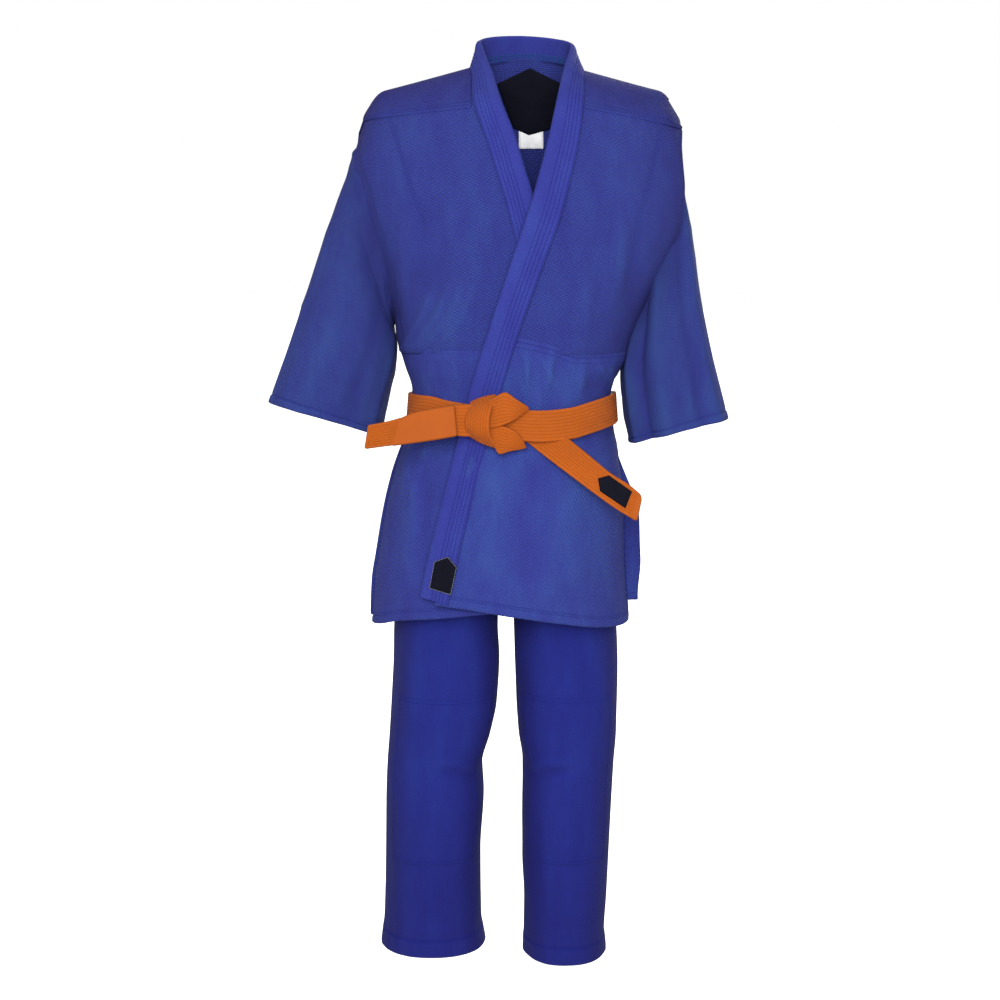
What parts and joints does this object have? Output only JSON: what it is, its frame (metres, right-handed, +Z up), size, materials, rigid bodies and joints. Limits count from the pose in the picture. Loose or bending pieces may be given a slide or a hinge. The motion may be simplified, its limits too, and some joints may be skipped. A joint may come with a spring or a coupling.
{
  "type": "martial arts uniform",
  "caption": "Judo style uniform in its worn shape: crossed wide-sleeved jacket with a ribbed collar band, knotted belt and straight trousers.",
  "frame": {"origin": "middle of the neck opening, level with the seams where the shoulders meet the collar", "axes": "+Z up along the body, +X to the wearer's left, the front faces -Y"},
  "size_m": [0.6431, 0.2944, 1.3042],
  "materials": {
    "jacket": "blue pearl-weave cotton, matt",
    "jacket_lower": "blue diamond-weave cotton, matt",
    "collar": "ribbed cotton cover, slight sheen",
    "core": "folded canvas core",
    "belt": "orange satin cotton with stitched rows",
    "patch": "black woven patch",
    "care": "white satin label",
    "trousers": "blue cotton canvas, matt"
  },
  "bodies": {
    "root": {"back_upper": "jacket", "right_front_upper": "jacket", "left_front_upper": "jacket", "back_lower": "jacket_lower", "right_front_lower": "jacket_lower", "left_front_lower": "jacket_lower", "right_shoulder_yoke": "jacket", "left_shoulder_yoke": "jacket", "outer_lapel_core": "core", "outer_lapel_cover": "collar", "inner_lapel_core": "core", "inner_lapel_cover": "collar", "collar_back_cover": "collar", "collar_back_core": "core", "right_underarm_gusset": "jacket", "left_underarm_gusset": "jacket", "belt_inner_wrap": "belt", "belt_outer_wrap": "belt", "knot_bar": "belt", "knot_wrap": "belt", "knot_upper_fold": "belt", "neck_label": "patch", "care_label": "care", "trouser_seat": "trousers", "drawstring_tunnel": "trousers", "crotch_gusset": "trousers", "right_drawstring_loop": "trousers", "left_drawstring_loop": "trousers", "right_thigh": "trousers", "right_knee_patch_upper": "trousers", "left_thigh": "trousers", "left_knee_patch_upper": "trousers"},
    "right_sleeve_body": {"right_sleeve": "jacket", "right_cuff_band": "jacket"},
    "left_sleeve_body": {"left_sleeve": "jacket", "left_cuff_band": "jacket"},
    "outer_flap_body": {"outer_flap": "jacket_lower", "outer_lapel_tail_core": "core", "outer_lapel_tail_cover": "collar", "lapel_badge": "patch"},
    "inner_flap_body": {"inner_flap": "jacket_lower", "inner_lapel_tail_core": "core", "inner_lapel_tail_cover": "collar"},
    "back_flap_body": {"back_flap": "jacket_lower"},
    "right_lower_leg_body": {"right_lower_leg": "trousers", "right_hem_band": "trousers", "right_knee_patch_lower": "trousers"},
    "left_lower_leg_body": {"left_lower_leg": "trousers", "left_hem_band": "trousers", "left_knee_patch_lower": "trousers"},
    "short_belt_end": {"belt_end_right": "belt", "belt_tip_right": "belt"},
    "long_belt_end": {"belt_end_left": "belt", "belt_tip_stitching": "belt", "belt_end_patch": "patch"}
  },
  "joints": [
    {"name": "right_sleeve_raise", "type": "hinge", "parent": "root", "child": "right_sleeve_body", "pos_m": [-0.202, 0, -0.046], "axis": [0, 1, 0], "range_deg": [0, 80]},
    {"name": "left_sleeve_raise", "type": "hinge", "parent": "root", "child": "left_sleeve_body", "pos_m": [0.226, 0, -0.046], "axis": [0, -1, 0], "range_deg": [0, 80]},
    {"name": "outer_flap_lift", "type": "hinge", "parent": "root", "child": "outer_flap_body", "pos_m": [0, -0.152, -0.64], "axis": [-1, 0, 0], "range_deg": [0, 60]},
    {"name": "inner_flap_lift", "type": "hinge", "parent": "root", "child": "inner_flap_body", "pos_m": [0, -0.152, -0.64], "axis": [-1, 0, 0], "range_deg": [0, 52]},
    {"name": "back_flap_lift", "type": "hinge", "parent": "root", "child": "back_flap_body", "pos_m": [0, 0.14, -0.64], "axis": [1, 0, 0], "range_deg": [0, 60]},
    {"name": "right_knee_bend", "type": "hinge", "parent": "root", "child": "right_lower_leg_body", "pos_m": [-0.1101, 0.094, -0.985], "axis": [1, 0, 0], "range_deg": [0, 75]},
    {"name": "left_knee_bend", "type": "hinge", "parent": "root", "child": "left_lower_leg_body", "pos_m": [0.0814, 0.094, -0.985], "axis": [1, 0, 0], "range_deg": [0, 75]},
    {"name": "short_end_swing", "type": "hinge", "parent": "root", "child": "short_belt_end", "pos_m": [-0.07, -0.1575, -0.478], "axis": [0, -1, 0], "range_deg": [-12, 18]},
    {"name": "long_end_swing", "type": "hinge", "parent": "root", "child": "long_belt_end", "pos_m": [0.022, -0.1575, -0.5], "axis": [0, -1, 0], "range_deg": [-8, 20]}
  ],
  "couplings": [
    {"joint": "inner_flap_lift", "follows": "outer_flap_lift", "ratio": 0.85}
  ]
}
